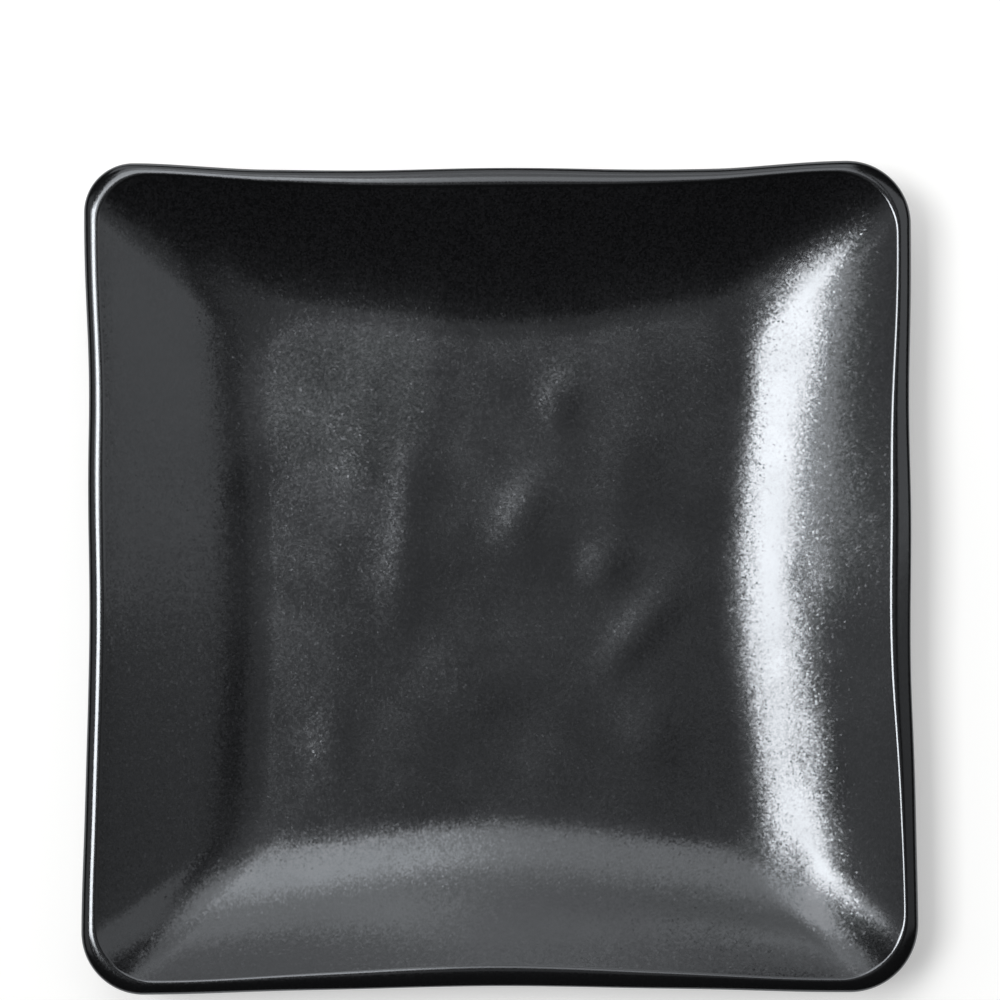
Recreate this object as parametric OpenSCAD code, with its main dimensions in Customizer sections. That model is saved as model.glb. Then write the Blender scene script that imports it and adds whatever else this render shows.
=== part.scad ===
// Square dinner plate in glazed stoneware: a pressed slab with four concave walls and a
// rolled lip, a luted foot ring, and three glaze coats that leave the foot bare.
// Millimetres. +Z is up, +Y is the back, and the origin is on the table under the centre.
// Lists of four run front, right, back, left. Lists of corners start at the front right
// corner and run counter-clockwise as seen from above.

/* [Plate] */
// Overall width and depth, measured over the corners
plate_size = 260; // [200:1:320]
// Outer radius of each corner of the lip, seen from above
corner_r = [21.5, 20, 15.5, 19.5]; // [12:0.5:30]
// How far each side draws in between its corners
side_bow = [2.1, 1.3, 2.4, 2]; // [0:0.1:6]
// Share of each half side over which it swings out to its corner
side_swing = [0.78, 0.73, 0.37, 0.64]; // [0.3:0.01:1]
// Height of the uneven ripple that hand trimming leaves along the sides
ripple = 0.3; // [0:0.05:0.8]
// How much higher the lip stands at mid-side than at the corners
side_lift = 1.5; // [0:0.1:4]

/* [Wall and well] */
// Width of the wall in plan, from the well's edge to the outside of the lip
wall_w = 50; // [40:1:60]
// How far each edge of the well lies outside an even square
well_out = [-3.2, -6.6, 0.7, -7.5]; // [-9:0.1:8]
// Radius of each corner of the well's edge
well_corner_r = [12, 14, 14, 9]; // [2:0.5:20]
// How far each edge of the well draws in between its corners
well_bow = [6, 6, 6, 1.5]; // [0:0.5:9]
// How late up the wall that bow gives way to the lip's line: 1 is evenly
bow_hold = 5; // [1:0.1:6]
// How late up the wall the well's corner creases open to the lip's radius: 1 is evenly
crease_hold = 1.7; // [1:0.1:4]
// Radius of the bend between floor and wall, on the eating side
toe_r = 50; // [20:1:60]
// Slope of the wall just above that bend, in degrees
toe_angle = 12; // [6:1:18]
// Slope of the wall where it reaches the lip, in degrees
rim_angle = 40; // [34:1:46]

/* [Clay] */
// Clay thickness of the floor
floor_t = 5; // [3.5:0.1:8]
// Clay thickness of the wall at the lip
lip_t = 4; // [3:0.1:5.2]
// Radius of the lip's clay on the eating side of its crest
lip_in_r = 1; // [0.6:0.1:1.8]
// Radius of its broad outer side
lip_out_r = 3.5; // [2.8:0.1:5]
// Radius of its edge, where the outer side turns under
lip_edge_r = 1; // [0.6:0.1:1.6]

/* [Foot] */
// Height of the foot ring, from the table to the clay of the floor
foot_h = 4; // [2.5:0.5:8]
// Width of the foot ring's standing face
foot_w = 6; // [4:0.5:10]
// Distance from the even square of the well in to the outside of the foot
foot_inset = 15; // [15:1:24]
// Outer corner radius of the foot ring
foot_corner_r = 14; // [12:1:24]

/* [Glaze] */
// Thickness of every glaze coat
glaze_t = 0.5; // [0.3:0.05:0.8]
// Width of bare clay that is wiped clean beside the foot
bare_band = 1.5; // [0.5:0.1:3]

/* [Hidden] */

clay_colour = "#8c7b69";
satin_black = "#1d1d1f";
gloss_black = "#0f0f10";

// Facets: along a side, round a corner, and up the section's bend, wall and lip
sides = 4;
side_steps = 12;
corner_steps = 6;
toe_steps = 3;
wall_steps = 6;
lip_in_steps = 2;
lip_out_steps = 3;
lip_edge_steps = 3;
quarter = 90;
fine = 96;

// The ripple's waves along one side, and how far it is shifted from side to side
ripple_waves = 2.5;
ripple_shift = 100;

// The plan: the foot follows from the overall size
plate_half = plate_size / 2;
foot_half = plate_half - wall_w - foot_inset;
base_half = foot_half - foot_w - bare_band;
least_corner_r = 1;
base_corner_r = max(foot_corner_r - foot_w - bare_band, least_corner_r);

// The lip in section: its outer side falls from the crest until the wall has its thickness
lip_spread = lip_out_r - lip_edge_r;
lip_inside = lip_in_r * (1 - cos(rim_angle)) + lip_out_r * cos(rim_angle) + lip_edge_r;
lip_fall = acos((lip_inside - lip_t) / lip_spread) - rim_angle;
crest_x = wall_w - glaze_t - lip_edge_r - lip_spread * sin(lip_fall);

// The section's middle line: flat floor, bend, then a wall of one steady curve up to the lip
floor_mid_z = foot_h + floor_t / 2;
toe_mid_r = toe_r + glaze_t + floor_t / 2;
toe_x = toe_mid_r * sin(toe_angle);
toe_z = floor_mid_z + toe_mid_r * (1 - cos(toe_angle));
wall_end_x = crest_x + (lip_t / 2 - lip_in_r) * sin(rim_angle);
wall_mid_r = (wall_end_x - toe_x) / (sin(rim_angle) - sin(toe_angle));
wall_end_z = toe_z + wall_mid_r * (cos(toe_angle) - cos(rim_angle));

// Each station of the middle line is [distance out from the well's edge, height, slope, half clay]
toe_stations = [
    for (k = [0:toe_steps])
        let (slope = toe_angle * k / toe_steps)
        [toe_mid_r * sin(slope), floor_mid_z + toe_mid_r * (1 - cos(slope)), slope, floor_t / 2]
];
wall_stations = [
    for (k = [1:wall_steps])
        let (share = k / wall_steps)
        let (slope = toe_angle + (rim_angle - toe_angle) * share)
        let (out = toe_x + wall_mid_r * (sin(slope) - sin(toe_angle)))
        let (up = toe_z + wall_mid_r * (cos(toe_angle) - cos(slope)))
        [out, up, slope, floor_t / 2 * (1 - share) + lip_t / 2 * share]
];
stations = concat(toe_stations, wall_stations);
last = len(stations) - 1;

// Arcs of the lip, each [centre, radius, first angle, last angle, steps]
lip_in_z = wall_end_z + (lip_t / 2 - lip_in_r) * cos(rim_angle);
lip_out_z = lip_in_z + lip_in_r - lip_out_r;
lip_edge = [crest_x + lip_spread * sin(lip_fall), lip_out_z + lip_spread * cos(lip_fall)];
lip_arcs = [
    [[crest_x, lip_in_z], lip_in_r, quarter + rim_angle, quarter, lip_in_steps],
    [[crest_x, lip_out_z], lip_out_r, quarter, quarter - lip_fall, lip_out_steps],
    [lip_edge, lip_edge_r, quarter - lip_fall, rim_angle - quarter, lip_edge_steps]
];

// Plan lines have one point per spoke, counter-clockwise from the front left corner
spokes = sides * (side_steps + corner_steps);
level = [0, 0, 0, 0];
even = [1, 1, 1, 1];
foot_line = outline(
    even * (foot_half + bare_band), even * (foot_corner_r + bare_band), level, level, 0
);
side_share = [
    for (side = [1:sides])
        for (share = concat(
            [for (i = [0:side_steps - 1]) smooth(1 - abs(along(i)))],
            [for (i = [1:corner_steps]) 0]
        )) share
];

// Smooth step from 0 to 1
function smooth(t) = t <= 0 ? 0 : t >= 1 ? 1 : t * t * (3 - 2 * t);

// Place along a side, from -1 at one end to 1 at the other, closer set near the corners
function along(i) = sin(quarter * (2 * i / side_steps - 1));

// How far a side stands in from the straight line between its corners: a bow along the whole
// side, and a tuck that swings out to the corners
function drawn_in(side, s, bow, tuck, wave) =
    let (waves = wave * sin(360 * ripple_waves * (s + 1) / 2 + ripple_shift * side))
    smooth(1 - abs(s)) * bow[side]
    + smooth((1 - abs(s)) / side_swing[side]) * (tuck[side] + waves);

// A point of the front side, turned to the side that it belongs to
function turned(p, side) =
    let (a = quarter * side)
    [p.x * cos(a) - p.y * sin(a), p.x * sin(a) + p.y * cos(a)];

// Rounded square whose sides draw in
function outline(reach, r, bow, tuck, wave) = [
    for (side = [0:sides - 1])
        let (before = (side + sides - 1) % sides, after = (side + 1) % sides)
        let (first = r[before] - reach[before], end = reach[after] - r[side])
        for (p = concat(
            [for (i = [0:side_steps - 1])
                let (s = along(i))
                [
                    (first * (1 - s) + end * (1 + s)) / 2,
                    drawn_in(side, s, bow, tuck, wave) - reach[side]
                ]],
            [for (i = [0:corner_steps - 1])
                let (a = quarter * (i / corner_steps - 1))
                [end + r[side] * cos(a), r[side] - reach[side] + r[side] * sin(a)]]
        )) turned(p, side)
];

// Plan of the wall, from 0 at the well's edge to 1 at the outside of the lip
function wall_line(share) =
    let (opened = pow(share, crease_hold))
    outline(
        [for (out = well_out) plate_half + (out - wall_w) * (1 - share)],
        well_corner_r * (1 - opened) + corner_r * opened,
        well_bow * (1 - pow(share, bow_hold)),
        side_bow * share,
        ripple * share
    );

// Section points at a coat's thickness outside the clay: eating side, lip and underside
function top_rows(coat) = [
    for (m = stations) [m[0] - (m[3] + coat) * sin(m[2]), m[1] + (m[3] + coat) * cos(m[2])]
];
function under_rows(coat) = [
    for (i = [last:-1:0])
        let (m = stations[i])
        [m[0] + (m[3] + coat) * sin(m[2]), m[1] - (m[3] + coat) * cos(m[2])]
];
function lip_rows(coat) = [
    for (arc = lip_arcs)
        for (k = [1:arc[4]])
            let (a = arc[2] + (arc[3] - arc[2]) * k / arc[4])
            arc[0] + (arc[1] + coat) * [cos(a), sin(a)]
];
function backwards(rows) = [for (i = [len(rows) - 1:-1:0]) rows[i]];

// One ring of points round the plate, at a section point
function ring(row) =
    let (share = row[0] / wall_w, line = wall_line(share))
    [for (j = [0:spokes - 1])
        [line[j].x, line[j].y, row[1] + side_lift * side_share[j] * share * share]];
function flat_ring(line, z) = [for (p = line) [p.x, p.y, z]];

// Two triangles between each pair of spokes, from one ring to another. Rings that run back
// along a coat's inner face take the other diagonal, so that the face fits the clay.
function band(from, to, back) = [
    for (j = [0:spokes - 1])
        let (n = (j + 1) % spokes)
        let (a = from * spokes + j, b = from * spokes + n)
        let (c = to * spokes + n, d = to * spokes + j)
        for (face = back ? [[a, b, d], [b, c, d]] : [[a, b, c], [a, c, d]]) face
];
function bands(count, turn) = [
    for (k = [0:count - 2]) for (face = band(k, k + 1, k >= turn)) face
];
function all_points(rings) = [for (r = rings) for (p = r) p];

// Solid whose first and last rings are flat and close on the plate's axis
module closed_on_axis(rings, turn) {
    count = len(rings);
    first_centre = count * spokes;
    last_centre = first_centre + 1;
    last_ring = (count - 1) * spokes;
    polyhedron(
        points = concat(
            all_points(rings),
            [[0, 0, rings[0][0].z], [0, 0, rings[count - 1][0].z]]
        ),
        faces = concat(
            bands(count, turn),
            [for (j = [0:spokes - 1]) [first_centre, (j + 1) % spokes, j]],
            [for (j = [0:spokes - 1])
                [last_centre, last_ring + j, last_ring + (j + 1) % spokes]]
        )
    );
}

// Solid whose last ring joins its first, so that it runs round the plate as a loop
module closed_loop(rings, turn) {
    count = len(rings);
    polyhedron(
        points = all_points(rings),
        faces = concat(bands(count, turn), band(count - 1, 0, true))
    );
}

// Square with round corners, in plan
module rounded_square(half, r) {
    square([2 * half, 2 * (half - r)], center = true);
    square([2 * (half - r), 2 * half], center = true);
    for (x = [-1, 1])
        for (y = [-1, 1])
            translate([x * (half - r), y * (half - r)])
                circle(r, $fn = fine);
}

// Fired stoneware slab: floor, walls and rolled lip in one piece
module clay_body() {
    rows = concat(top_rows(0), lip_rows(0), under_rows(0));
    color(clay_colour)
        closed_on_axis([for (row = rows) ring(row)], len(rows));
}

// Square ring luted to the underside, with a bare ground standing face
module foot_ring() {
    color(clay_colour)
        linear_extrude(foot_h)
            difference() {
                rounded_square(foot_half, foot_corner_r);
                rounded_square(
                    foot_half - foot_w,
                    max(foot_corner_r - foot_w, least_corner_r)
                );
            }
}

// Satin coat over the floor and the walls, up to where the lip begins to turn
module inner_glaze() {
    face = top_rows(glaze_t);
    rows = concat(face, backwards(top_rows(0)));
    color(satin_black)
        closed_on_axis([for (row = rows) ring(row)], len(face));
}

// Gloss coat that laps the lip and runs down the outside to the edge of the bare band
module outer_glaze() {
    lip_start = [top_rows(glaze_t)[last], top_rows(0)[last]];
    face = concat([lip_start[0]], lip_rows(glaze_t), under_rows(glaze_t));
    inner = concat([lip_start[1]], lip_rows(0), under_rows(0));
    color(gloss_black)
        closed_loop(
            concat(
                [for (row = face) ring(row)],
                [flat_ring(foot_line, foot_h - glaze_t), flat_ring(foot_line, foot_h)],
                [for (row = backwards(inner)) ring(row)]
            ),
            len(face) + 1
        );
}

// Gloss coat on the underside, inside the foot ring
module base_glaze() {
    color(gloss_black)
        translate([0, 0, foot_h - glaze_t])
            linear_extrude(glaze_t)
                rounded_square(base_half, base_corner_r);
}

clay_body();
foot_ring();
inner_glaze();
outer_glaze();
base_glaze();
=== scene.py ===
"""Looks of a square dinner plate: its glaze coats, its bare clay, a studio and a camera.

Everything is in metres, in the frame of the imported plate: +Z is up, +Y is the back, and the
origin is on the table under the plate's centre.
"""

import logging
import math
from dataclasses import dataclass
from enum import Enum
from functools import partial
from typing import Any

import bpy
from mathutils import Euler, Matrix, Vector


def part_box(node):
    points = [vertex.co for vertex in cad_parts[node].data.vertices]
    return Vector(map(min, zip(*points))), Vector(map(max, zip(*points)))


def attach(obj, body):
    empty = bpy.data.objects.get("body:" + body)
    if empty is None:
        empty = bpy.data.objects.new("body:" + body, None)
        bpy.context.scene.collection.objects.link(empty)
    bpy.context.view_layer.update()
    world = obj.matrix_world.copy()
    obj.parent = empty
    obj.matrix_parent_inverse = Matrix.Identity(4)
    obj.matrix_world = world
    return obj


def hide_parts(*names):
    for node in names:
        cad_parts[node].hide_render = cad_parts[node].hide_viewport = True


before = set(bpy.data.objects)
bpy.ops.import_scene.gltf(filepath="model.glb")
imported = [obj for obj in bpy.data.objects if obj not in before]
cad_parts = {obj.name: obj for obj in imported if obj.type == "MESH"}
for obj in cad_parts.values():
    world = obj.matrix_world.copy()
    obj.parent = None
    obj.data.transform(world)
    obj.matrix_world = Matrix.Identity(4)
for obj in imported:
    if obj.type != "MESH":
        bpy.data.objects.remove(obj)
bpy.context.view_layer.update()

LOG = logging.getLogger("plate")
BODY = "root"
MM = 0.001
SIDES = 4
QUARTER = math.pi / 2
WHITE = (1.0, 1.0, 1.0, 1.0)
# Middle of the range of a noise, or of one channel of a random colour
MIDDLE = 0.5
# Sockets of a Mix node, which has its own set for each type of data
VECTOR_A, VECTOR_B, VECTOR_OUT = 4, 5, 1
COLOUR_A, COLOUR_B, COLOUR_OUT = 6, 7, 2


class Slot(Enum):
    """Finishes that the record names."""

    BARE = "bare_stoneware"
    SATIN = "satin_black_glaze"
    GLOSS = "gloss_black_glaze"


def linear(hex_colour: str) -> tuple[float, float, float, float]:
    """Turns an sRGB hex colour to linear light.

    Args:
        hex_colour: Six hex digits after a hash sign.

    Returns:
        Red, green, blue and alpha, each from 0 to 1.
    """
    shares = [int(hex_colour[i:i + 2], 16) / 255 for i in (1, 3, 5)]
    # The sRGB standard's own curve: a straight foot, then a power
    light = [c / 12.92 if c <= 0.04045 else ((c + 0.055) / 1.055) ** 2.4 for c in shares]
    return (*light, 1.0)


def feed(tree: bpy.types.NodeTree, node: bpy.types.Node, inputs: dict) -> None:
    """Fills a node's inputs.

    Args:
        tree: Tree that holds the node.
        node: The node.
        inputs: For each input, by name or number, a node or socket to link from or a value to set.
    """
    for key, value in inputs.items():
        if isinstance(value, bpy.types.Node):
            value = value.outputs[0]
        if isinstance(value, bpy.types.NodeSocket):
            tree.links.new(value, node.inputs[key])
        else:
            node.inputs[key].default_value = value


def add_node(tree: bpy.types.NodeTree, kind: str, inputs: dict | None = None, **settings: Any) -> Any:
    """Adds one node to a shader or geometry tree.

    Args:
        tree: Tree that gets the node.
        kind: Blender's name for the node's type.
        inputs: What its inputs are linked from or set to.
        settings: Properties of the node.

    Returns:
        The node.
    """
    node = tree.nodes.new(kind)
    for name, value in settings.items():
        setattr(node, name, value)
    feed(tree, node, inputs or {})
    return node


def smooth(share: float) -> float:
    """Smooth step from 0 to 1."""
    share = min(max(share, 0.0), 1.0)
    return share * share * (3 - 2 * share)


def mesh_object(
    name: str, points: list[Vector], faces: tuple[tuple[int, ...], ...] = (),
) -> bpy.types.Object:
    """Makes an object from points and faces, and links it to the scene.

    Args:
        name: Name of the object and its mesh.
        points: Vertices.
        faces: Vertex numbers of each face.

    Returns:
        The object, at the origin.
    """
    mesh = bpy.data.meshes.new(name)
    mesh.from_pydata([tuple(p) for p in points], (), faces)
    thing = bpy.data.objects.new(name, mesh)
    bpy.context.scene.collection.objects.link(thing)
    return thing


@dataclass(frozen=True)
class PlanLine:
    """A rounded rectangle seen from above, whose sides may draw in between the corners.

    Sides run front, right, back, left, and each corner has the number of the side before it.
    The default is a single point on the plate's axis.
    """

    reach: tuple[float, ...] = (0.0,) * SIDES
    corner_r: tuple[float, ...] = (0.0,) * SIDES
    # How far each side draws in along its whole length
    bow: tuple[float, ...] = (0.0,) * SIDES
    # How far it draws in with a swing out to the corners, and the share of a half side for that
    tuck: tuple[float, ...] = (0.0,) * SIDES
    swing: tuple[float, ...] = (1.0,) * SIDES
    ripple: float = 0.0
    side_lift: float = 0.0
    ripple_waves: float = 2.5
    ripple_shift: float = math.radians(100)
    side_steps: int = 96
    corner_steps: int = 24

    @property
    def spokes(self) -> int:
        """Number of points round the line."""
        return SIDES * (self.side_steps + self.corner_steps)

    def drawn_in(self, side: int, place: float) -> float:
        """How far a side stands in from the straight line between its corners.

        Args:
            side: Number of the side.
            place: Place along it, from -1 to 1.

        Returns:
            The distance.
        """
        wave = math.tau * self.ripple_waves * (place + 1) / 2 + self.ripple_shift * side
        from_corner = 1 - abs(place)
        swung = self.tuck[side] + self.ripple * math.sin(wave)
        return smooth(from_corner) * self.bow[side] + smooth(from_corner / self.swing[side]) * swung

    def points(self) -> list[Vector]:
        """Walks the line counter-clockwise from the front left corner.

        Returns:
            Each point, with the lift towards mid-side as its height.
        """
        found = []
        for side in range(SIDES):
            turn = Euler((0, 0, QUARTER * side)).to_matrix()
            before, after = (side - 1) % SIDES, (side + 1) % SIDES
            r = self.corner_r[side]
            first = self.corner_r[before] - self.reach[before]
            last = self.reach[after] - r
            for i in range(self.side_steps):
                share = i / self.side_steps
                place = 2 * share - 1
                y = self.drawn_in(side, place) - self.reach[side]
                lift = self.side_lift * smooth(1 - abs(place))
                found.append(turn @ Vector((first * (1 - share) + last * share, y, lift)))
            for i in range(self.corner_steps):
                a = QUARTER * (i / self.corner_steps - 1)
                y = r - self.reach[side] + r * math.sin(a)
                found.append(turn @ Vector((last + r * math.cos(a), y, 0.0)))
        return found


@dataclass(frozen=True)
class HandMark:
    """A low swell or dent that the potter's fingers left in the clay."""

    # Centre in plan, then the widths of the bell across and along, its height and its turn
    place: tuple[float, float]
    across: float
    along: float
    height: float
    turn: float = 0.0


@dataclass(frozen=True)
class PlateShape:
    """Driving sizes of the plate and the section that they give.

    Lists of four run front, right, back, left, and corners have the number of the side before.
    """

    reach: tuple[float, ...]
    corner_r: tuple[float, ...] = (21.5 * MM, 20 * MM, 15.5 * MM, 19.5 * MM)
    side_bow: tuple[float, ...] = (2.1 * MM, 1.3 * MM, 2.4 * MM, 2.0 * MM)
    side_swing: tuple[float, ...] = (0.78, 0.73, 0.37, 0.64)
    ripple: float = 0.3 * MM
    side_lift: float = 1.49 * MM
    wall_w: float = 50 * MM
    well_out: tuple[float, ...] = (-3.2 * MM, -6.6 * MM, 0.7 * MM, -7.5 * MM)
    well_corner_r: tuple[float, ...] = (12 * MM, 14 * MM, 14 * MM, 9 * MM)
    well_bow: tuple[float, ...] = (6 * MM, 6 * MM, 6 * MM, 1.5 * MM)
    # How late up the wall the well's bow and its corner creases give way to the lip: 1 is evenly
    bow_hold: float = 5.0
    crease_hold: float = 1.7
    toe_r: float = 50 * MM
    toe_angle: float = math.radians(12)
    rim_angle: float = math.radians(40)
    floor_t: float = 5 * MM
    lip_t: float = 4 * MM
    # Radii of the lip's clay: its inner side, its broad outer side and the edge below that
    lip_in_r: float = 1 * MM
    lip_out_r: float = 3.5 * MM
    lip_edge_r: float = 1 * MM
    foot_h: float = 4 * MM
    foot_w: float = 6 * MM
    foot_inset: float = 15 * MM
    foot_corner_r: float = 14 * MM
    glaze_t: float = 0.5 * MM
    bare_band: float = 1.5 * MM
    wall_lines: int = 65
    floor_steps: int = 44
    curve_steps: tuple[int, ...] = (14, 40)
    lip_steps: int = 10

    @property
    def foot_half(self) -> float:
        """Half the width over the foot ring."""
        return self.reach[1] - self.wall_w - self.foot_inset

    @property
    def lip_fall(self) -> float:
        """Angle over which the lip's broad outer side falls from its crest to its edge."""
        cos_rim = math.cos(self.rim_angle)
        inside = self.lip_in_r * (1 - cos_rim) + self.lip_out_r * cos_rim + self.lip_edge_r
        return math.acos((inside - self.lip_t) / (self.lip_out_r - self.lip_edge_r)) - self.rim_angle

    @property
    def crest_x(self) -> float:
        """Distance out from the well's edge to the lip's crest."""
        beyond = self.lip_edge_r + (self.lip_out_r - self.lip_edge_r) * math.sin(self.lip_fall)
        return self.wall_w - self.glaze_t - beyond

    def line(self, share: float) -> PlanLine:
        """Plan of the wall at one height.

        Args:
            share: Place up the wall, from 0 at the well's edge to 1 at the outside of the lip.

        Returns:
            The line.
        """
        opened = share ** self.crease_hold
        return PlanLine(
            reach=tuple(
                rim + (out - self.wall_w) * (1 - share) for rim, out in zip(self.reach, self.well_out)
            ),
            corner_r=tuple(
                well * (1 - opened) + rim * opened for well, rim in zip(self.well_corner_r, self.corner_r)
            ),
            bow=tuple(bow * (1 - share ** self.bow_hold) for bow in self.well_bow),
            tuck=tuple(bow * share for bow in self.side_bow),
            swing=self.side_swing,
            ripple=self.ripple * share,
            side_lift=self.side_lift * share * share,
        )

    def walls(self) -> list[PlanLine]:
        """Plan lines from the well's edge to the outside of the lip."""
        return [self.line(k / (self.wall_lines - 1)) for k in range(self.wall_lines)]

    def square(self, half: float, corner_r: float) -> PlanLine:
        """Even rounded square, as the foot has."""
        return PlanLine((half,) * SIDES, (corner_r,) * SIDES)

    def stations(self) -> list[tuple[float, float, float, float]]:
        """Follows the middle of the clay from the well's edge to the lip.

        Returns:
            Distance out, height, slope and half thickness at each station.
        """
        half_floor, half_lip = self.floor_t / 2, self.lip_t / 2
        toe, rim = self.toe_angle, self.rim_angle
        toe_mid_r = self.toe_r + self.glaze_t + half_floor
        end_x = self.crest_x + (half_lip - self.lip_in_r) * math.sin(rim)
        wall_r = (end_x - toe_mid_r * math.sin(toe)) / (math.sin(rim) - math.sin(toe))
        curves = ((0.0, toe, toe_mid_r), (toe, rim, wall_r))
        x, z = 0.0, self.foot_h + half_floor
        found = [(x, z, 0.0, half_floor)]
        for (first, end, r), steps in zip(curves, self.curve_steps):
            for k in range(1, steps + 1):
                slope = first + (end - first) * k / steps
                share = max((slope - toe) / (rim - toe), 0.0)
                out = x + r * (math.sin(slope) - math.sin(first))
                up = z + r * (math.cos(first) - math.cos(slope))
                found.append((out, up, slope, half_floor * (1 - share) + half_lip * share))
            x, z = found[-1][:2]
        return found

    def face(self, coat: float, under: bool) -> list[tuple[float, float]]:
        """Section of the eating side or the underside, from the well's edge to the lip.

        Args:
            coat: Thickness of glaze over the clay.
            under: Whether the underside is meant.

        Returns:
            Distance out from the well's edge and height of each point.
        """
        way = -1 if under else 1
        return [
            (
                out - way * (half + coat) * math.sin(slope),
                up + way * (half + coat) * math.cos(slope),
            )
            for out, up, slope, half in self.stations()
        ]

    def lip(self, coat: float) -> list[tuple[float, float]]:
        """Section of the lip: over its crest, down its broad outer side and round its edge.

        Args:
            coat: Thickness of glaze over the clay.

        Returns:
            Distance out from the well's edge and height of each point between the two faces.
        """
        rim, fall, x = self.rim_angle, self.lip_fall, self.crest_x
        inner_z = self.face(0.0, False)[-1][1] - self.lip_in_r * math.cos(rim)
        outer_z = inner_z + self.lip_in_r - self.lip_out_r
        inset = self.lip_out_r - self.lip_edge_r
        edge = (x + inset * math.sin(fall), outer_z + inset * math.cos(fall))
        arcs = (
            ((x, inner_z), self.lip_in_r, QUARTER + rim, QUARTER),
            ((x, outer_z), self.lip_out_r, QUARTER, QUARTER - fall),
            (edge, self.lip_edge_r, QUARTER - fall, rim - QUARTER),
        )
        found = []
        for (centre_x, centre_z), r, start, end in arcs:
            for k in range(1, self.lip_steps + 1):
                a = start + (end - start) * k / self.lip_steps
                found.append((centre_x + (r + coat) * math.cos(a), centre_z + (r + coat) * math.sin(a)))
        return found

    def row(self, point: tuple[float, float], marks: float = 0.0) -> Vector:
        """Turns a section point beyond the well's edge to a row of the sweep.

        Args:
            point: Distance out from the well's edge, and height.
            marks: Share of the hand marks that the row takes.

        Returns:
            Place across the plan lines, that share, and height.
        """
        return Vector((1 + point[0] / self.wall_w * (self.wall_lines - 1), marks, point[1]))


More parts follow.
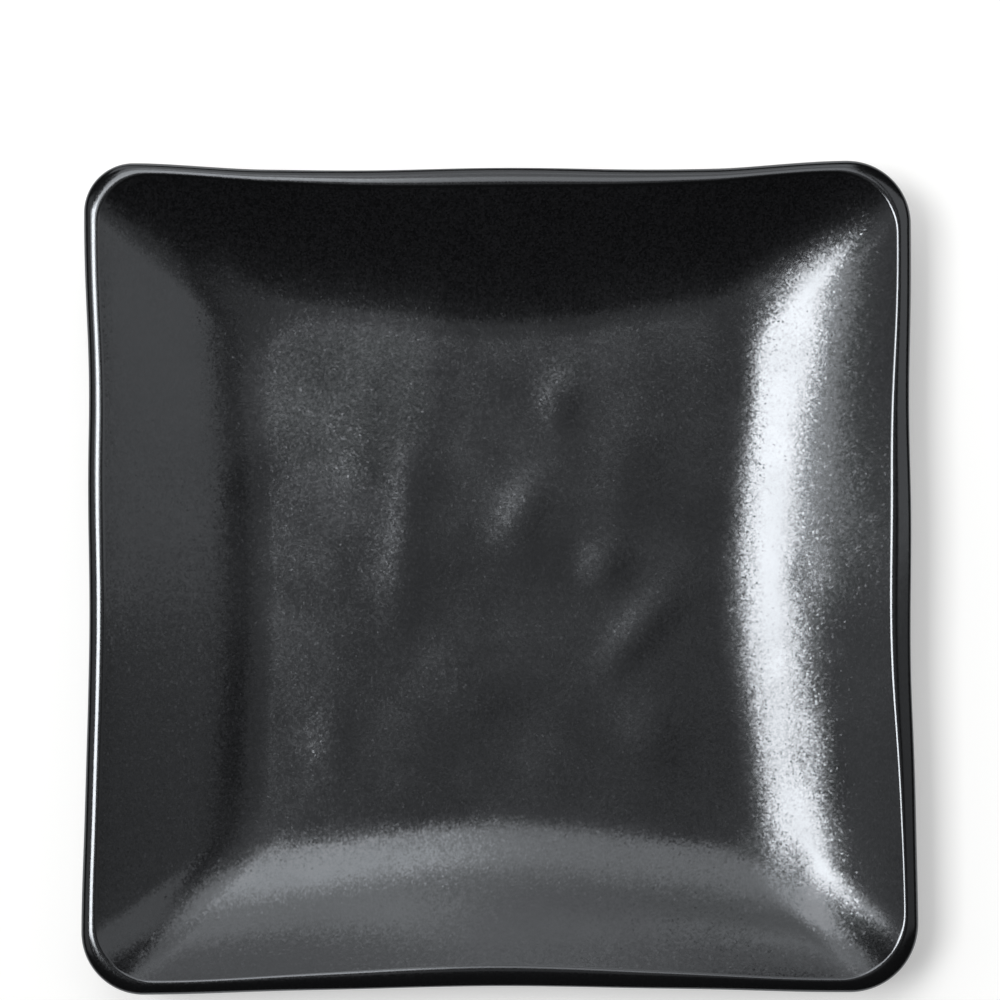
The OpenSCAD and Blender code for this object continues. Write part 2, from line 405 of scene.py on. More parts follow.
class SweptSection:
    """Geometry Nodes tree that sweeps one section round the plate, between its plan lines.

    The plan lines are a cloud of points, line after line. Each row of the section says how far
    across those lines it lies, how much of the hand marks it takes, and how high it is.
    """

    INPUTS = (
        ("Plan lines", "NodeSocketGeometry"),
        ("Section", "NodeSocketObject"),
        ("Hand marks", "NodeSocketObject"),
        ("Spokes", "NodeSocketInt"),
        ("Rows", "NodeSocketInt"),
        ("Lines", "NodeSocketInt"),
        ("Mark count", "NodeSocketInt"),
        ("Wobble height", "NodeSocketFloat"),
        ("Wobble width", "NodeSocketFloat"),
        ("Seed", "NodeSocketFloat"),
        ("Material", "NodeSocketMaterial"),
    )
    MARK_FACTS = ("across", "along", "turn")
    SEED = 7.3
    WELD = 0.002 * MM
    SHARP = math.radians(42)
    # Leaves heights out of a mark's distance
    IN_PLAN = (1.0, 1.0, 0.0)
    # Exponent of a bell curve, for each square of the distance in widths
    BELL = -0.5
    # Finer waves in the wobble, and the share of its height that each has
    WOBBLE_DETAIL = 1.0
    WOBBLE_SHARE = 0.4

    def __init__(self) -> None:
        """Builds the tree."""
        self.tree = bpy.data.node_groups.new("swept_section", "GeometryNodeTree")
        interface = self.tree.interface
        self.keys = {
            name: interface.new_socket(name=name, in_out="INPUT", socket_type=kind).identifier
            for name, kind in self.INPUTS
        }
        interface.new_socket(name="Mesh", in_out="OUTPUT", socket_type="NodeSocketGeometry")
        self.given = add_node(self.tree, "NodeGroupInput").outputs
        mesh, marks = self._sweep()
        mesh = self._press(mesh, marks)
        mesh = self._wobble(mesh, marks)
        self._close(mesh)

    def _sweep(self) -> tuple[Any, Any]:
        """Lays a grid of spokes and rows over the plan lines.

        Returns:
            The mesh, and the share of the hand marks at each vertex.
        """
        add, given = partial(add_node, self.tree), self.given
        whole, pick = "FunctionNodeIntegerMath", "GeometryNodeSampleIndex"
        position = add("GeometryNodeInputPosition")
        index = add("GeometryNodeInputIndex")
        columns = add(whole, {0: given["Spokes"], 1: 1}, operation="ADD")
        grid = add("GeometryNodeMeshGrid", {"Vertices X": columns, "Vertices Y": given["Rows"]})
        column = add(whole, {0: index, 1: given["Rows"]}, operation="DIVIDE_FLOOR")
        spoke = add(whole, {0: column, 1: given["Spokes"]}, operation="MODULO")
        row = add(whole, {0: index, 1: given["Rows"]}, operation="MODULO")
        section = add("GeometryNodeObjectInfo", {"Object": given["Section"]}).outputs["Geometry"]
        facts = add(pick, {"Geometry": section, "Value": position, "Index": row}, data_type="FLOAT_VECTOR")
        across, marks, height = add("ShaderNodeSeparateXYZ", {0: facts}).outputs
        last_gap = add(whole, {0: given["Lines"], 1: 2}, operation="SUBTRACT")
        line = add("FunctionNodeFloatToInt", {0: across}, rounding_mode="FLOOR")
        line = add(whole, {0: line, 1: last_gap}, operation="MINIMUM")
        near = add(whole, {0: line, 1: given["Spokes"], 2: spoke}, operation="MULTIPLY_ADD")
        far = add(whole, {0: near, 1: given["Spokes"]}, operation="ADD")
        near_place, far_place = (
            add(
                pick, {"Geometry": given["Plan lines"], "Value": position, "Index": k},
                data_type="FLOAT_VECTOR",
            )
            for k in (near, far)
        )
        gap_share = add("ShaderNodeMath", {0: across, 1: line}, operation="SUBTRACT")
        plan = add(
            "ShaderNodeMix", {0: gap_share, VECTOR_A: near_place, VECTOR_B: far_place},
            data_type="VECTOR", clamp_factor=False,
        ).outputs[VECTOR_OUT]
        up = add("ShaderNodeCombineXYZ", {2: height})
        place = add("ShaderNodeVectorMath", {0: plan, 1: up}, operation="ADD")
        return add("GeometryNodeSetPosition", {"Geometry": grid, "Position": place}), marks

    def _press(self, mesh: Any, share: Any) -> Any:
        """Adds the hand marks one by one, each a bell-shaped swell or dent.

        Args:
            mesh: Mesh so far.
            share: Share of the marks at each vertex.

        Returns:
            The marked mesh.
        """
        add, given = partial(add_node, self.tree), self.given
        pick, maths = "GeometryNodeSampleIndex", "ShaderNodeMath"
        start = add("GeometryNodeRepeatInput")
        end = add("GeometryNodeRepeatOutput")
        start.pair_with_output(end)
        feed(self.tree, start, {"Iterations": given["Mark count"], "Geometry": mesh})
        turn_of = start.outputs["Iteration"]
        source = add("GeometryNodeObjectInfo", {"Object": given["Hand marks"]}).outputs["Geometry"]
        position = add("GeometryNodeInputPosition")
        centre = add(
            pick, {"Geometry": source, "Value": position, "Index": turn_of}, data_type="FLOAT_VECTOR"
        )
        across, along, turn = (
            add(
                pick,
                {
                    "Geometry": source, "Index": turn_of,
                    "Value": add("GeometryNodeInputNamedAttribute", {"Name": name}, data_type="FLOAT"),
                },
                data_type="FLOAT",
            )
            for name in self.MARK_FACTS
        )
        away = add("ShaderNodeVectorMath", {0: position, 1: centre}, operation="SUBTRACT")
        turned = add(
            "ShaderNodeVectorRotate", {"Vector": away, "Angle": turn}, rotation_type="Z_AXIS", invert=True
        )
        widths = add("ShaderNodeCombineXYZ", {0: across, 1: along, 2: 1.0})
        shares = add("ShaderNodeVectorMath", {0: turned, 1: widths}, operation="DIVIDE")
        flat = add("ShaderNodeVectorMath", {0: shares, 1: self.IN_PLAN}, operation="MULTIPLY")
        spread = add("ShaderNodeVectorMath", {0: flat, 1: flat}, operation="DOT_PRODUCT").outputs["Value"]
        power = add(maths, {0: spread, 1: self.BELL}, operation="MULTIPLY")
        bell = add(maths, {0: power}, operation="EXPONENT")
        peak = add("ShaderNodeSeparateXYZ", {0: centre}).outputs[2]
        height = add(maths, {0: bell, 1: peak}, operation="MULTIPLY")
        lift = add("ShaderNodeCombineXYZ", {2: add(maths, {0: height, 1: share}, operation="MULTIPLY")})
        marked = add("GeometryNodeSetPosition", {"Geometry": start.outputs["Geometry"], "Offset": lift})
        feed(self.tree, end, {"Geometry": marked})
        return end.outputs["Geometry"]

    def _wobble(self, mesh: Any, share: Any) -> Any:
        """Adds the slow unevenness of a hand-pressed wall.

        Args:
            mesh: Mesh so far.
            share: Share of the unevenness at each vertex.

        Returns:
            The uneven mesh.
        """
        add, given = partial(add_node, self.tree), self.given
        maths = "ShaderNodeMath"
        scale = add(maths, {0: 1.0, 1: given["Wobble width"]}, operation="DIVIDE")
        noise = add(
            "ShaderNodeTexNoise",
            {
                "Vector": add("GeometryNodeInputPosition"), "W": given["Seed"], "Scale": scale,
                "Detail": self.WOBBLE_DETAIL, "Roughness": self.WOBBLE_SHARE,
            },
            noise_dimensions="4D",
        )
        even = add(maths, {0: noise, 1: MIDDLE}, operation="SUBTRACT")
        height = add(maths, {0: even, 1: given["Wobble height"]}, operation="MULTIPLY")
        lift = add("ShaderNodeCombineXYZ", {2: add(maths, {0: height, 1: share}, operation="MULTIPLY")})
        return add("GeometryNodeSetPosition", {"Geometry": mesh, "Offset": lift})

    def _close(self, mesh: Any) -> None:
        """Welds seams and poles, turns the faces outwards and sets the finish.

        Args:
            mesh: Mesh so far.
        """
        add, given = partial(add_node, self.tree), self.given
        welded = add("GeometryNodeMergeByDistance", {"Geometry": mesh, "Distance": self.WELD})
        flipped = add("GeometryNodeFlipFaces", {"Mesh": welded})
        shaded = add("GeometryNodeSetShadeSmooth", {"Geometry": flipped})
        real = add("GeometryNodeRealizeInstances", {"Geometry": shaded})
        dressed = add("GeometryNodeSetMaterial", {"Geometry": real, "Material": given["Material"]})
        add("NodeGroupOutput", {0: dressed})

    def make(
        self, name: str, lines: list[PlanLine], rows: list[Vector], material: bpy.types.Material,
        marks: tuple[HandMark, ...] = (), wobble: tuple[float, float] = (0.0, 1.0),
    ) -> bpy.types.Object:
        """Sweeps one piece and turns it to a plain mesh.

        Args:
            name: Name of the piece.
            lines: Plan lines, from the inside out.
            rows: Rows of the section, clockwise as seen with the plate's axis on the left.
            material: Finish of the piece.
            marks: Hand marks.
            wobble: Height and width of the unevenness.

        Returns:
            The finished piece.
        """
        plan = mesh_object(name + "_plan", [p for line in lines for p in line.points()])
        section = mesh_object(name + "_section", rows)
        pressed = mesh_object(name + "_marks", [Vector((*m.place, m.height)) for m in marks])
        for key in self.MARK_FACTS:
            values = pressed.data.attributes.new(key, "FLOAT", "POINT").data
            values.foreach_set("value", [getattr(m, key) for m in marks])
        modifier = plan.modifiers.new("sweep", "NODES")
        modifier.node_group = self.tree
        settings = {
            "Section": section, "Hand marks": pressed, "Spokes": lines[0].spokes, "Rows": len(rows),
            "Lines": len(lines), "Mark count": len(marks), "Wobble height": wobble[0],
            "Wobble width": wobble[1], "Seed": self.SEED, "Material": material,
        }
        for key, value in settings.items():
            modifier[self.keys[key]] = value
        graph = bpy.context.evaluated_depsgraph_get()
        mesh = bpy.data.meshes.new_from_object(plan.evaluated_get(graph))
        mesh.name = name
        mesh.set_sharp_from_angle(angle=self.SHARP)
        piece = bpy.data.objects.new(name, mesh)
        bpy.context.scene.collection.objects.link(piece)
        for helper in (plan, section, pressed):
            bpy.data.objects.remove(helper)
        return piece


def new_finish(name: str) -> tuple[bpy.types.Material, Any, Any]:
    """Starts a material.

    Args:
        name: Its name.

    Returns:
        The material, a function that adds nodes to it, and its Object coordinates.
    """
    made = bpy.data.materials.new(name)
    made.use_nodes = True
    add = partial(add_node, made.node_tree)
    return made, add, add("ShaderNodeTexCoord").outputs["Object"]


def dress_shader(made: bpy.types.Material, inputs: dict) -> bpy.types.Material:
    """Fills the inputs of a material's shader, and gives the material back."""
    feed(made.node_tree, made.node_tree.nodes["Principled BSDF"], inputs)
    return made


@dataclass(frozen=True)
class SatinBlackGlaze:
    """Iron and manganese black glaze, sprayed on stoneware and fired to a satin.

    The eye sees near black with a broad soft shine. Small crystals in the coat lean each way,
    so that the shine breaks up into a fine pepper of light and dark along its edges.
    """

    name: str = "satin_black_glaze_sprayed"
    dark: str = "#050506"
    pale: str = "#1c1c1e"
    # Cool cast of the shine, from the metals in the glaze
    sheen: str = "#f4f9ff"
    ior: float = 1.9
    roughness: tuple[float, float] = (0.18, 0.23)
    # Real crystals are about 0.2 mm. These are coarser, so that they show from a plate's distance
    crystal: float = 0.62 * MM
    # How far a flat crystal's face and a steep one's may lean, and how rare steep ones are
    lean: tuple[float, float] = (0.042, 0.12)
    rarity: float = 7.0
    pebble: float = 2.4 * MM
    cloud: float = 30 * MM
    # Finer waves in both, and the share of their height that each has
    detail: float = 2.0
    detail_share: float = 0.6
    relief: float = 0.03 * MM
    # Part of the noise's range that the roughness takes
    rough_from: tuple[float, float] = (0.35, 0.65)

    def material(self) -> bpy.types.Material:
        """Builds the finish.

        Returns:
            The material.
        """
        made, add, spot = new_finish(self.name)
        vectors = "ShaderNodeVectorMath"
        pebble, cloud = (
            add(
                "ShaderNodeTexNoise",
                {
                    "Vector": spot, "Scale": 1 / size,
                    "Detail": self.detail, "Roughness": self.detail_share,
                },
            )
            for size in (self.pebble, self.cloud)
        )
        crystal = add("ShaderNodeTexVoronoi", {"Vector": spot, "Scale": 1 / self.crystal}).outputs
        chance = add("ShaderNodeSeparateColor", {0: crystal["Color"]}).outputs["Blue"]
        tone = add(
            "ShaderNodeMix", {0: chance, COLOUR_A: linear(self.dark), COLOUR_B: linear(self.pale)},
            data_type="RGBA",
        ).outputs[COLOUR_OUT]
        rough = add(
            "ShaderNodeMapRange",
            {
                "Value": cloud, "From Min": self.rough_from[0], "From Max": self.rough_from[1],
                "To Min": self.roughness[0], "To Max": self.roughness[1],
            },
        )
        rare = add("ShaderNodeMath", {0: chance, 1: self.rarity}, operation="POWER")
        lean = add("ShaderNodeMapRange", {"Value": rare, "To Min": self.lean[0], "To Max": self.lean[1]})
        way = add(vectors, {0: crystal["Color"], 1: (MIDDLE, MIDDLE, MIDDLE)}, operation="SUBTRACT")
        away = add(vectors, {0: way, "Scale": lean}, operation="SCALE")
        plain = add("ShaderNodeNewGeometry").outputs["Normal"]
        leaning = add(vectors, {0: plain, 1: away}, operation="ADD")
        facet = add(vectors, {0: leaning}, operation="NORMALIZE")
        relief = add(
            "ShaderNodeBump",
            {"Strength": 1.0, "Distance": self.relief, "Height": pebble, "Normal": facet},
        )
        return dress_shader(
            made,
            {
                "Base Color": tone, "Roughness": rough, "Normal": relief, "IOR": self.ior,
                "Specular Tint": linear(self.sheen),
            },
        )


@dataclass(frozen=True)
class GlossBlackGlaze:
    """Black glaze that ran smooth where it lies thick, on the lip and the outside.

    The eye sees a wet, nearly unbroken gloss with a faint orange-peel swell.
    """

    name: str = "gloss_black_glaze_dipped"
    dark: str = "#080809"
    pale: str = "#111112"
    sheen: str = "#f4f9ff"
    ior: float = 1.9
    roughness: tuple[float, float] = (0.1, 0.2)
    swell: float = 4 * MM
    speck: float = 0.6 * MM
    detail: float = 2.0
    relief: float = 0.02 * MM
    # Part of the speck noise's range that the roughness takes
    rough_from: tuple[float, float] = (0.3, 0.7)

    def material(self) -> bpy.types.Material:
        """Builds the finish.

        Returns:
            The material.
        """
        made, add, spot = new_finish(self.name)
        swell, speck = (
            add("ShaderNodeTexNoise", {"Vector": spot, "Scale": 1 / size, "Detail": self.detail})
            for size in (self.swell, self.speck)
        )
        tone = add(
            "ShaderNodeMix", {0: speck, COLOUR_A: linear(self.dark), COLOUR_B: linear(self.pale)},
            data_type="RGBA",
        ).outputs[COLOUR_OUT]
        rough = add(
            "ShaderNodeMapRange",
            {
                "Value": speck, "From Min": self.rough_from[0], "From Max": self.rough_from[1],
                "To Min": self.roughness[0], "To Max": self.roughness[1],
            },
        )
        relief = add("ShaderNodeBump", {"Strength": 1.0, "Distance": self.relief, "Height": swell})
        return dress_shader(
            made,
            {
                "Base Color": tone, "Roughness": rough, "Normal": relief, "IOR": self.ior,
                "Specular Tint": linear(self.sheen),
            },
        )


@dataclass(frozen=True)
class BareStoneware:
    """Unglazed fired stoneware, wiped clean and ground flat on the foot.

    The eye sees a dry grey-brown body with darker iron specks and paler grog.
    """

    name: str = "bare_stoneware_fired"
    clay: str = "#8c7b69"
    iron: str = "#4c4036"
    grog: str = "#b3a591"
    ior: float = 1.5
    roughness: float = 0.85
    grit: float = 0.5 * MM
    patch: float = 9 * MM
    detail: float = 3.0
    relief: float = 0.06 * MM
    # Parts of the grit noise's range where iron specks and grog come up
    speck: tuple[float, float] = (0.44, 0.34)
    grain: tuple[float, float] = (0.56, 0.7)
    grain_share: float = 0.8
    # How far patches darken or lighten the clay, over the middle of their noise's range
    shade: tuple[float, float] = (0.88, 1.1)
    shade_from: tuple[float, float] = (0.3, 0.7)

    def material(self) -> bpy.types.Material:
        """Builds the finish.

        Returns:
            The material.
        """
        made, add, spot = new_finish(self.name)
        grit, patch = (
            add("ShaderNodeTexNoise", {"Vector": spot, "Scale": 1 / size, "Detail": self.detail})
            for size in (self.grit, self.patch)
        )
        specks = add(
            "ShaderNodeMapRange", {"Value": grit, "From Min": self.speck[0], "From Max": self.speck[1]}
        )
        grains = add(
            "ShaderNodeMapRange",
            {
                "Value": grit, "From Min": self.grain[0], "From Max": self.grain[1],
                "To Max": self.grain_share,
            },
        )
        tone = add(
            "ShaderNodeMix", {0: grains, COLOUR_A: linear(self.clay), COLOUR_B: linear(self.grog)},
            data_type="RGBA",
        ).outputs[COLOUR_OUT]
        tone = add(
            "ShaderNodeMix", {0: specks, COLOUR_A: tone, COLOUR_B: linear(self.iron)}, data_type="RGBA"
        ).outputs[COLOUR_OUT]
        shade = add(
            "ShaderNodeMapRange",
            {
                "Value": patch, "From Min": self.shade_from[0], "From Max": self.shade_from[1],
                "To Min": self.shade[0], "To Max": self.shade[1],
            },
        )
        tone = add("ShaderNodeHueSaturation", {"Color": tone, "Value": shade})
        relief = add("ShaderNodeBump", {"Strength": 1.0, "Distance": self.relief, "Height": grit})
        return dress_shader(
            made, {"Base Color": tone, "Roughness": self.roughness, "Normal": relief, "IOR": self.ior}
        )


@dataclass(frozen=True)
class PaleTableTop:
    """Matt white lacquered board under the plate: an even pale ground that takes a soft shadow."""

    name: str = "white_lacquered_board"
    pale: str = "#f2f2f1"
    paler: str = "#f4f4f3"
    roughness: float = 0.9
    patch: float = 0.4
    # White that the board shows to the eye and to reflections, over the light that falls on it
    glow: float = 0.34

    def material(self) -> bpy.types.Material:
        """Builds the finish.

        Returns:
            The material.
        """
        made, add, spot = new_finish(self.name)
        patch = add("ShaderNodeTexNoise", {"Vector": spot, "Scale": 1 / self.patch})
        tone = add(
            "ShaderNodeMix", {0: patch, COLOUR_A: linear(self.pale), COLOUR_B: linear(self.paler)},
            data_type="RGBA",
        ).outputs[COLOUR_OUT]
        maths = "ShaderNodeMath"
        ray = add("ShaderNodeLightPath").outputs
        seen = add(maths, {0: ray["Is Camera Ray"], 1: ray["Is Glossy Ray"]}, operation="MAXIMUM")
        seen = add(maths, {0: seen, 1: ray["Is Transmission Ray"]}, operation="MAXIMUM")
        glow = add(maths, {0: seen, 1: self.glow}, operation="MULTIPLY")
        return dress_shader(
            made,
            {
                "Base Color": tone, "Roughness": self.roughness, "Specular IOR Level": 0.0,
                "Emission Color": WHITE, "Emission Strength": glow,
            },
        )


@dataclass
class EatingCoat:
    """Satin glaze over the floor and walls of the well, with the marks of the potter's hands."""

    shape: PlateShape
    wobble: tuple[float, float] = (0.3 * MM, 42 * MM)
    # Share of the wall, below the lip, over which the unevenness dies away
    fade: float = 0.12
    marks: tuple[HandMark, ...] = (
        HandMark((19.5 * MM, 56 * MM), 4.2 * MM, 7 * MM, 0.5 * MM),
        HandMark((-29 * MM, 14 * MM), 4.7 * MM, 20 * MM, 0.4 * MM, math.radians(-5)),
        HandMark((8 * MM, 21 * MM), 5 * MM, 9 * MM, 0.5 * MM, math.radians(-25)),
        HandMark((33.8 * MM, 4.5 * MM), 5 * MM, 6 * MM, 0.55 * MM),
        HandMark((43.7 * MM, -17.8 * MM), 4.5 * MM, 11 * MM, 0.55 * MM, math.radians(-40)),
        HandMark((-5.9 * MM, -34.9 * MM), 12 * MM, 6 * MM, 0.4 * MM),
        HandMark((-52.8 * MM, -51.9 * MM), 5 * MM, 8 * MM, 0.4 * MM),
        HandMark((6.5 * MM, -49.8 * MM), 7 * MM, 8 * MM, -0.25 * MM),
        HandMark((42.2 * MM, 38 * MM), 8 * MM, 14 * MM, 0.4 * MM),
        HandMark((-41.5 * MM, 39.5 * MM), 7 * MM, 12 * MM, 0.35 * MM),
        HandMark((48.4 * MM, -50.4 * MM), 6 * MM, 9 * MM, 0.35 * MM),
        HandMark((93 * MM, 68 * MM), 8 * MM, 15 * MM, 0.25 * MM),
        HandMark((97.8 * MM, 0.3 * MM), 4 * MM, 6 * MM, 0.22 * MM),
        HandMark((95.3 * MM, -52.5 * MM), 4.5 * MM, 8 * MM, 0.24 * MM),
        HandMark((91.5 * MM, -88 * MM), 5 * MM, 8 * MM, 0.3 * MM),
        HandMark((-26.5 * MM, 36 * MM), 6 * MM, 10 * MM, 0.35 * MM),
    )

    def rows(self) -> list[Vector]:
        """Section over the floor and up the wall, then back along the clay.

        Returns:
            Rows of the sweep.
        """
        shape = self.shape
        top, clay = shape.face(shape.glaze_t, False), shape.face(0.0, False)
        found = [Vector((k / shape.floor_steps, 1.0, top[0][1])) for k in range(shape.floor_steps)]
        edge = top[-1][0]
        for point in top:
            found.append(shape.row(point, smooth((1 - point[0] / edge) / self.fade)))
        found += [shape.row(point) for point in reversed(clay)]
        found.append(Vector((0.0, 0.0, clay[0][1])))
        return found

    def build(self, sweep: SweptSection, finish: bpy.types.Material) -> bpy.types.Object:
        """Sweeps the coat.

        Args:
            sweep: Tree that makes it.
            finish: Its material.

        Returns:
            The piece.
        """
        lines = [PlanLine(), *self.shape.walls()]
        piece = sweep.make("satin_inner_coat", lines, self.rows(), finish, self.marks, self.wobble)
        return ready(piece, "inner_glaze")


@dataclass
class OutsideCoat:
    """Gloss glaze that laps the lip and runs down the outside to the bare band at the foot."""

    shape: PlateShape

    def rows(self) -> list[Vector]:
        """Section over the lip and down the outside, then back along the clay.

        Returns:
            Rows of the sweep, with the first repeated at the end.
        """
        shape = self.shape
        coat = shape.glaze_t
        outside, clay = (
            [shape.face(t, False)[-1], *shape.lip(t), *reversed(shape.face(t, True))] for t in (coat, 0.0)
        )
        found = [shape.row(point) for point in outside]
        found += [Vector((0.0, 0.0, shape.foot_h - coat)), Vector((0.0, 0.0, shape.foot_h))]
        found += [shape.row(point) for point in reversed(clay)]
        return [*found, found[0]]

    def build(self, sweep: SweptSection, finish: bpy.types.Material) -> bpy.types.Object:
        """Sweeps the coat.

        Args:
            sweep: Tree that makes it.
            finish: Its material.

        Returns:
            The piece.
        """
        shape = self.shape
        bare = shape.square(shape.foot_half + shape.bare_band, shape.foot_corner_r + shape.bare_band)
        piece = sweep.make("gloss_outer_coat", [bare, *shape.walls()], self.rows(), finish)
        return ready(piece, "outer_glaze")


@dataclass
class FootRing:
    """Square ring of bare clay that the plate stands on, with its edges softened by wiping."""

    shape: PlateShape
    edge_r: float = 0.9 * MM
    root_r: float = 0.2 * MM
    edge_steps: int = 6

    def rows(self) -> list[Vector]:
        """Section round the ring's four edges, clockwise from the top of its outer face.

        Returns:
            Rows of the sweep, with the first repeated at the end.
        """
        height, width = self.shape.foot_h, self.shape.foot_w
        top, foot = height - self.root_r, self.edge_r
        edges = (
            (width - self.root_r, top, self.root_r),
            (width - self.edge_r, foot, self.edge_r),
            (self.edge_r, foot, self.edge_r),
            (self.root_r, top, self.root_r),
        )
        found = []
        for corner, (x, z, r) in enumerate(edges):
            for k in range(self.edge_steps + 1):
                a = QUARTER * (1 - corner - k / self.edge_steps)
                found.append(Vector(((x + r * math.cos(a)) / width, 0.0, z + r * math.sin(a))))
        return [*found, found[0]]

    def build(self, sweep: SweptSection, finish: bpy.types.Material) -> bpy.types.Object:
        """Sweeps the ring.

        Args:
            sweep: Tree that makes it.
            finish: Its material.

        Returns:
            The piece.
        """
        shape = self.shape
        inner = shape.square(shape.foot_half - shape.foot_w, shape.foot_corner_r - shape.foot_w)
        outer = shape.square(shape.foot_half, shape.foot_corner_r)
        piece = sweep.make("bare_foot_ring", [inner, outer], self.rows(), finish)
        return ready(piece, "foot_ring")


@dataclass
class BaseCoat:
    """Gloss glaze on the underside, inside the foot ring."""

    shape: PlateShape
    edge_steps: int = 8

    def build(self, sweep: SweptSection, finish: bpy.types.Material) -> bpy.types.Object:
        """Sweeps the coat, with its edge drawn round by surface tension.

        Args:
            sweep: Tree that makes it.
            finish: Its material.

        Returns:
            The piece.
        """
        shape = self.shape
        margin = shape.foot_w + shape.bare_band
        half = shape.foot_half - margin
        edge = shape.square(half, shape.foot_corner_r - margin)
        rows = [Vector((0.0, 0.0, shape.foot_h)), Vector((1.0, 0.0, shape.foot_h))]
        for k in range(1, self.edge_steps + 1):
            a = QUARTER * k / self.edge_steps
            x = 1 - shape.glaze_t / half * (1 - math.cos(a))
            rows.append(Vector((x, 0.0, shape.foot_h - shape.glaze_t * math.sin(a))))
        rows.append(Vector((0.0, 0.0, shape.foot_h - shape.glaze_t)))
        piece = sweep.make("gloss_base_coat", [PlanLine(), edge], rows, finish)
        return ready(piece, "base_glaze")


@dataclass
class ClayBody:
    """The fired slab itself, which shows only in the bare band beside the foot."""

    node: str = "clay_body"

    def build(self, finish: bpy.types.Material) -> bpy.types.Object:
        """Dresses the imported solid.

        Args:
            finish: Its material.

        Returns:
            The piece.
        """
        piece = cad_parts[self.node]
        piece.data.materials.clear()
        piece.data.materials.append(finish)
        return piece


def ready(piece: bpy.types.Object, node: str) -> bpy.types.Object:
    """Ties a finished piece to the frame.

    Args:
        piece: The piece.
        node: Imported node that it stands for.

    Returns:
        The piece.
    """
    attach(piece, BODY)
    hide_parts(node)
    return piece


@dataclass(frozen=True)
class Softbox:
    """A flat studio lamp that faces the plate."""

    name: str
    # Degrees from straight overhead towards the right and towards the back
    right: float
    back: float
    # Its size, how bright its face is, and how far it hangs from the plate
    width: float
    depth: float
    radiance: float
    distance: float = 2.2

    def place(self) -> bpy.types.Object:
        """Hangs the lamp over the plate.

        Returns:
            The lamp.
        """
        lamp = bpy.data.lights.new(self.name, "AREA")
        lamp.shape = "RECTANGLE"
        lamp.size = self.width
        lamp.size_y = self.depth
        lamp.energy = self.radiance * math.pi * self.width * self.depth
        thing = bpy.data.objects.new(self.name, lamp)
        way = Vector((math.tan(math.radians(self.right)), math.tan(math.radians(self.back)), 1.0))
        way.normalize()
        thing.location = way * self.distance
        across = Vector((0.0, 1.0, 0.0)).cross(way).normalized()
        thing.rotation_euler = Matrix((across, way.cross(across), way)).transposed().to_euler()
        bpy.context.scene.collection.objects.link(thing)
        return thing


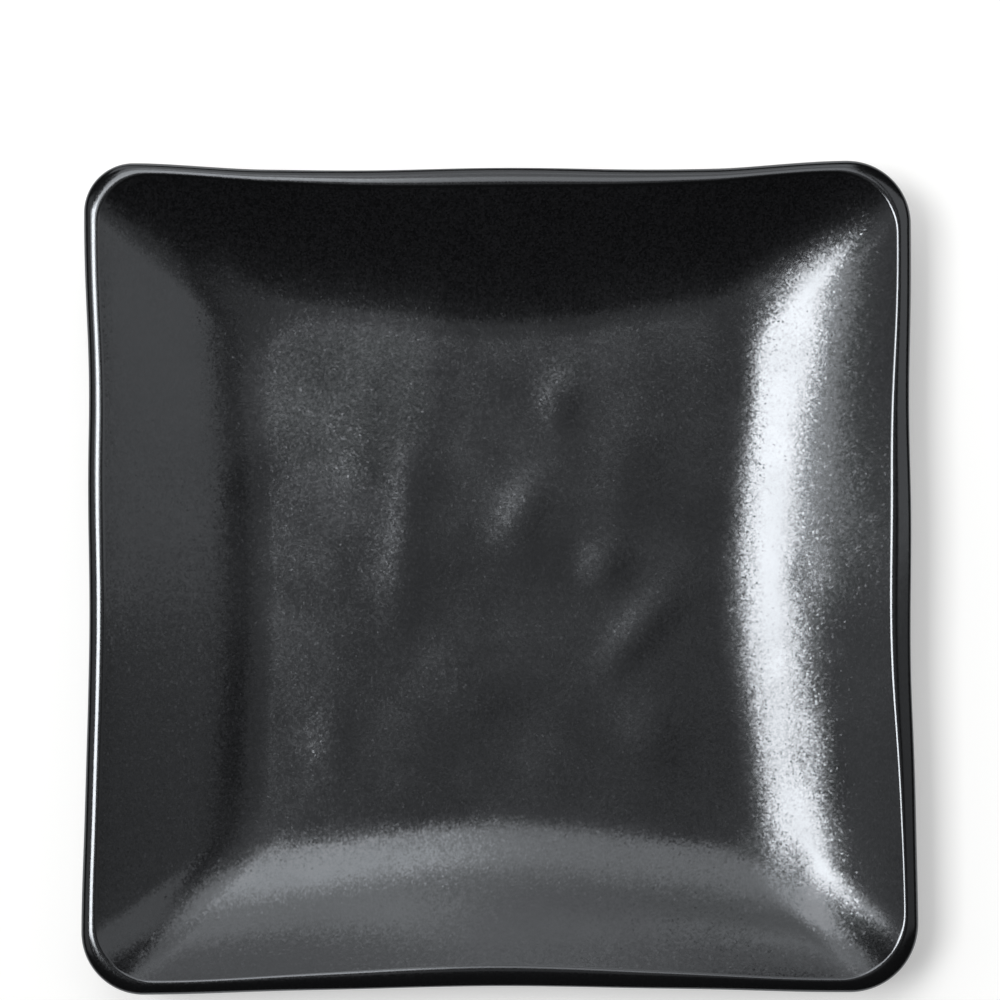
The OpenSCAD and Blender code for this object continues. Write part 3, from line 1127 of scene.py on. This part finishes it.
@dataclass
class Studio:
    """Pale table, soft lamps and the camera that looks down on the plate."""

    rim_z: float
    table_half: float = 8.0
    # Strength of the even light that comes from all round
    ambient: float = 0.022
    # Point of the table that the camera looks at, and how far off it hangs
    aim: tuple[float, float] = (0.5 * MM, 24.9 * MM)
    distance: float = 1.1
    tilt: float = math.radians(3.45)
    roll: float = math.radians(-0.2)
    # Width of the picture at the height of the lip
    picture_w: float = 311.2 * MM
    sensor_w: float = 36.0
    # Each lamp's name, degrees right and back, width, depth, radiance, and distance if unusual
    lamps: tuple[Softbox, ...] = (
        Softbox("key_softbox", -25.4, 3.0, 1.965, 2.38, 11.7, 6.0),
        Softbox("key_inner_card", -13, 10.5, 0.17, 0.5, 2.6),
        Softbox("left_back_panel", -13.5, 24.8, 0.58, 0.8, 3.1),
        Softbox("left_upper_panel", -19, 45, 0.62, 0.74, 1.2),
        Softbox("back_softbox", 3.5, 24.5, 0.74, 0.82, 1.5),
        Softbox("back_upper_panel", 4, 45.5, 0.94, 0.82, 0.76),
        Softbox("low_back_card", -18, 66, 1.9, 0.8, 0.72),
        Softbox("right_back_card", 44, 22, 1.95, 1.1, 0.6),
        Softbox("right_card", 43.5, -6.3, 2.0, 0.6, 0.22),
        Softbox("overhead_card", -0.5, 2, 0.9, 0.94, 0.1),
        Softbox("overhead_right_card", 5.5, 2, 0.26, 0.94, 0.1),
        Softbox("overhead_front_card", -4, -5.5, 0.4, 0.25, 0.13),
        Softbox("left_side_card", -39.5, 13, 0.5, 0.36, 2.6),
        Softbox("left_card", -57, 4, 1.0, 2.0, 0.3),
    )

    def build(self) -> None:
        """Sets the table, the lamps, the world and the camera."""
        bpy.context.scene.view_settings.view_transform = "Standard"
        self.lay_table()
        for lamp in self.lamps:
            lamp.place()
        world = bpy.data.worlds.new("dim_room")
        world.use_nodes = True
        light = world.node_tree.nodes["Background"]
        feed(world.node_tree, light, {"Color": WHITE, "Strength": self.ambient})
        bpy.context.scene.world = world
        self.set_camera()

    def lay_table(self) -> None:
        """Lays the pale table under the plate."""
        half = self.table_half
        square = ((-half, -half), (half, -half), (half, half), (-half, half))
        corners = [Vector((x, y, 0.0)) for x, y in square]
        table = mesh_object("table_top", corners, (tuple(range(SIDES)),))
        table.data.materials.append(PaleTableTop().material())

    def set_camera(self) -> None:
        """Hangs the camera over the plate, a little towards the front."""
        lens = bpy.data.cameras.new("overhead_camera")
        lens.sensor_width = self.sensor_w
        lens.lens = self.sensor_w * (self.distance * math.cos(self.tilt) - self.rim_z) / self.picture_w
        camera = bpy.data.objects.new("overhead_camera", lens)
        turn = Euler((self.tilt, 0.0, self.roll))
        camera.location = Vector((*self.aim, 0.0)) + turn.to_matrix() @ Vector((0.0, 0.0, self.distance))
        camera.rotation_euler = turn
        bpy.context.scene.collection.objects.link(camera)
        bpy.context.scene.camera = camera


def main() -> None:
    """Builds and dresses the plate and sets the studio."""
    logging.basicConfig(level=logging.INFO, format="%(message)s")
    low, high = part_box("outer_glaze")
    shape = PlateShape(reach=(-low.y, high.x, high.y, -low.x))
    sweep = SweptSection()
    gloss = GlossBlackGlaze().material()
    bare = BareStoneware().material()
    pieces = (
        EatingCoat(shape).build(sweep, SatinBlackGlaze().material()),
        OutsideCoat(shape).build(sweep, gloss),
        BaseCoat(shape).build(sweep, gloss),
        FootRing(shape).build(sweep, bare),
        ClayBody().build(bare),
    )
    for piece in pieces:
        LOG.info("%s: %d faces", piece.name, len(piece.data.polygons))
    Studio(rim_z=high.z).build()


if __name__ == "__main__":
    main()
